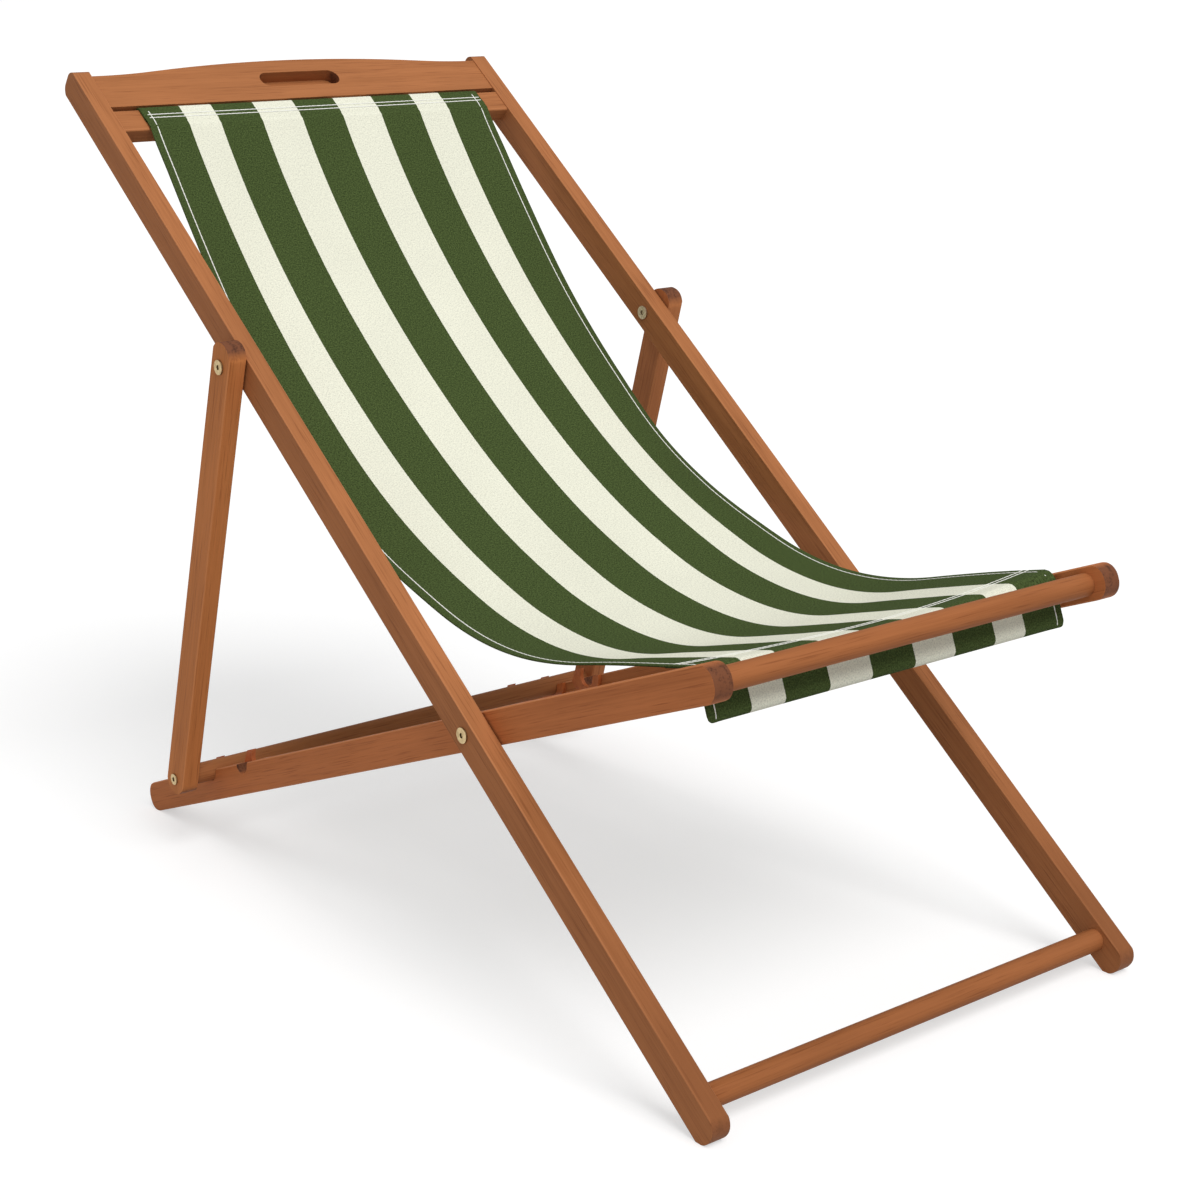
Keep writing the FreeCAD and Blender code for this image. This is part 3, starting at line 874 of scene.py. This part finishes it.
def canvas():
    """Striped woven canvas: the stripes run along the cloth, and the weave shows on both faces."""
    material, tree, shader = new_material("striped_canvas")
    place = tree.nodes.new("ShaderNodeTexCoord").outputs["UV"]
    split = add(tree, "ShaderNodeSeparateXYZ", {"Vector": place})
    across, along = split.outputs["X"], split.outputs["Y"]
    stripes = stripe_mask(tree, across, noise(tree, place, (1400, 1400, 1), detail=1.0))
    weave = woven(tree, across, along)
    mottle = noise(tree, place, (640, 640, 1), detail=3.0, roughness=0.6)
    texture = uneven_yarn(tree, place, mottle, weave)
    shade = ramp(tree, texture, ((0.46, grey(0.45)), (0.60, grey(1.0)), (0.74, grey(1.6))))
    shade_pale = ramp(tree, texture, ((0.46, grey(0.78)), (0.60, grey(1.0)), (0.74, grey(1.13))))
    green_cloth = mix_colour(tree, 1.0, green, shade, "MULTIPLY")
    cream_cloth = mix_colour(tree, 1.0, cream, shade_pale, "MULTIPLY")
    striped = mix_colour(tree, stripes, green_cloth, cream_cloth)
    soft = noise(tree, place, (9, 7, 1), detail=2.0)
    clouds = ramp(tree, soft, ((0.3, grey(0.97)), (0.7, grey(1.02))))
    tree.links.new(mix_colour(tree, 1.0, striped, clouds, "MULTIPLY"), shader.inputs["Base Color"])
    tree.links.new(scaled(tree, mottle, share=0.12, base=0.84), shader.inputs["Roughness"])
    height = scaled(tree, weave, share=0.35, base=texture)
    add_relief(tree, shader, height, strength=0.45, distance=0.00025)
    shader.inputs["Specular IOR Level"].default_value = 0.05
    return material


def thread_material():
    """White sewing thread with a fine twist."""
    material, tree, shader = new_material("white_thread")
    place = tree.nodes.new("ShaderNodeTexCoord").outputs["Object"]
    twist = noise(tree, place, (2600, 2600, 2600), detail=2.0)
    dark, light = thread_shades
    tree.links.new(ramp(tree, twist, ((0.3, dark), (0.65, light))), shader.inputs["Base Color"])
    tree.links.new(scaled(tree, twist, share=0.2, base=0.6), shader.inputs["Roughness"])
    return material


def brass(name, shades):
    """Satin brass with fine scratches, and painted shade in its hollows, such as a hex socket, from ambient
    occlusion.
    """
    material, tree, shader = new_material(name)
    place = tree.nodes.new("ShaderNodeTexCoord").outputs["Object"]
    scratches = noise(tree, place, (400, 2600, 3400), detail=3.0, roughness=0.6)
    stains = noise(tree, place, (260, 260, 260), detail=3.0, roughness=0.6, shift=(2, 5, 1))
    dull, bright = shades
    stained = ramp(tree, stains, ((0.32, dull), (0.62, bright)))
    # Painted shade: ambient occlusion darkens the colour in hollows such as the hex socket.
    hollow_shade = add(tree, "ShaderNodeAmbientOcclusion", {"Distance": 0.004}, samples=8)
    unshaded_share = ramp(tree, hollow_shade.outputs["AO"], ((0.35, grey(0)), (0.85, grey(1))))
    tree.links.new(mix_colour(tree, unshaded_share, painted_hollow_shade, stained), shader.inputs["Base Color"])
    tree.links.new(scaled(tree, scratches, share=0.25, base=0.30), shader.inputs["Roughness"])
    add_relief(tree, shader, scratches, strength=0.15, distance=0.0001)
    shader.inputs["Metallic"].default_value = 1.0
    return material


def moulding():
    """Red-brown satin moulding of the notch hooks."""
    material, tree, shader = new_material("hook_moulding")
    place = tree.nodes.new("ShaderNodeTexCoord").outputs["Object"]
    grainy = noise(tree, place, (1800, 1800, 1800), detail=2.0)
    worn = noise(tree, place, (140, 140, 140), detail=3.0, roughness=0.6, shift=(4, 1, 8))
    dark, light = moulding_shades
    tree.links.new(ramp(tree, worn, ((0.3, dark), (0.7, light))), shader.inputs["Base Color"])
    tree.links.new(scaled(tree, worn, share=0.2, base=0.32), shader.inputs["Roughness"])
    add_relief(tree, shader, grainy, strength=0.2, distance=0.0001)
    shader.inputs["Specular IOR Level"].default_value = 0.25
    return material


def dress(node, material):
    mesh = frame["nodes"][node].data
    mesh.materials.clear()
    mesh.materials.append(material)


def dress_wood():
    """Each wooden piece gets its own length of timber, with its grain along the piece."""
    prop_angle = slope_between(middle("prop_crossbar"), prop_pivot)
    pieces = []
    for side in SIDES:
        pieces.append((f"back_rail_{side}", back.angle, False, True))
        pieces.append((f"seat_rail_{side}", seat.angle, False, True))
        pieces.append((f"prop_leg_{side}", prop_angle, False, True))
    for node, line in (("head_rail", back), ("sling_top_rail", back), ("seat_sling_rail", seat)):
        pieces.append((node, line.angle, True, True))
    for node in ("foot_stretcher", "front_dowel", "prop_crossbar", "top_sling_rod", "front_sling_rod"):
        pieces.append((node, 0.0, True, False))
    for seed, (node, angle, along_x, squared) in enumerate(pieces, start=1):
        tone = wood_tones.get(node, plain_tone)
        standing = node.startswith("back_rail")
        dress(node, wood(f"wood_{node}", angle, along_x, squared, tone, seed, standing))


def dress_fittings():
    metal = brass("satin_brass", brass_shades)
    pale_metal = brass("pale_brass", nut_shades)
    plastic = moulding()
    for node in frame["nodes"]:
        if "nut" in node:
            dress(node, pale_metal)
        elif "bolt" in node or "washer" in node:
            dress(node, metal)
        elif "hook" in node:
            dress(node, plastic)


dress_wood()
dress_fittings()

cloth = make_cloth()
cloth.data.materials.append(canvas())
stitches = make_stitches()
stitches.data.materials.append(thread_material())
blend_start = cloth_point(hang_start, 0.0, 0.0)
blend_end = cloth_point(hang_end, 0.0, 0.0)
for piece in (cloth, stitches):
    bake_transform(piece)
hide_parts("sling")


# Floor, light and camera.
def make_floor():
    """A pale floor that shows white to the camera, apart from the chair's shadow."""
    corners = [(x * floor_reach, y * floor_reach, 0) for x, y in ((-1, -1), (1, -1), (1, 1), (-1, 1))]
    floor = new_object("floor", corners, [(0, 1, 2, 3)])
    material, tree, shader = new_material("pale_floor")
    ray = tree.nodes.new("ShaderNodeLightPath")
    seen = math_node(tree, "MAXIMUM", ray.outputs["Is Camera Ray"], ray.outputs["Is Glossy Ray"])
    seen = math_node(tree, "MAXIMUM", seen, ray.outputs["Is Transmission Ray"])
    shader.inputs["Base Color"].default_value = floor_colour
    shader.inputs["Roughness"].default_value = 1.0
    shader.inputs["Specular IOR Level"].default_value = 0.0
    shader.inputs["Emission Color"].default_value = white
    tree.links.new(math_node(tree, "MULTIPLY", seen, floor_glow), shader.inputs["Emission Strength"])
    floor.data.materials.append(material)


def make_world():
    """Soft light from all round, in front of a white background."""
    world = bpy.data.worlds.new("studio")
    scene.world = world
    world.use_nodes = True
    tree = world.node_tree
    tree.nodes.clear()
    output = tree.nodes.new("ShaderNodeOutputWorld")
    ray = tree.nodes.new("ShaderNodeLightPath")
    seen = math_node(tree, "MAXIMUM", ray.outputs["Is Camera Ray"], ray.outputs["Is Transmission Ray"])
    sky = add(tree, "ShaderNodeBackground", {"Color": white, "Strength": sky_strength})
    backdrop = add(tree, "ShaderNodeBackground", {"Color": white, "Strength": 1.0})
    shaders = {0: seen, 1: sky.outputs["Background"], 2: backdrop.outputs["Background"]}
    mixed = add(tree, "ShaderNodeMixShader", shaders)
    tree.links.new(mixed.outputs["Shader"], output.inputs["Surface"])


def make_sun():
    lamp = bpy.data.lights.new("soft_key", "SUN")
    lamp.energy = sun_strength
    lamp.angle = math.radians(sun_width)
    made = bpy.data.objects.new("soft_key", lamp)
    made.rotation_mode = "QUATERNION"
    made.rotation_quaternion = Vector(sun_towards).to_track_quat("Z", "Y")
    scene.collection.objects.link(made)


def make_camera():
    """A camera at the photograph's view."""
    yaw, pitch, roll = (math.radians(a) for a in (camera_yaw, camera_pitch, camera_roll))
    forward = Vector((math.sin(yaw) * math.cos(pitch), math.cos(yaw) * math.cos(pitch), math.sin(pitch)))
    level = Vector((math.cos(yaw), -math.sin(yaw), 0))
    upward = level.cross(forward)
    right = level * math.cos(roll) + upward * math.sin(roll)
    top = upward * math.cos(roll) - level * math.sin(roll)
    lens = bpy.data.cameras.new("photo_view")
    lens.sensor_width = sensor_width
    lens.lens = focal_pixels / image_pixels * sensor_width
    camera = bpy.data.objects.new("photo_view", lens)
    turn = Matrix((right, top, -forward)).transposed()
    camera.matrix_world = Matrix.Translation(camera_place) @ turn.to_4x4()
    scene.collection.objects.link(camera)
    scene.camera = camera


make_floor()
make_world()
make_sun()
make_camera()
scene.view_settings.view_transform = "Standard"
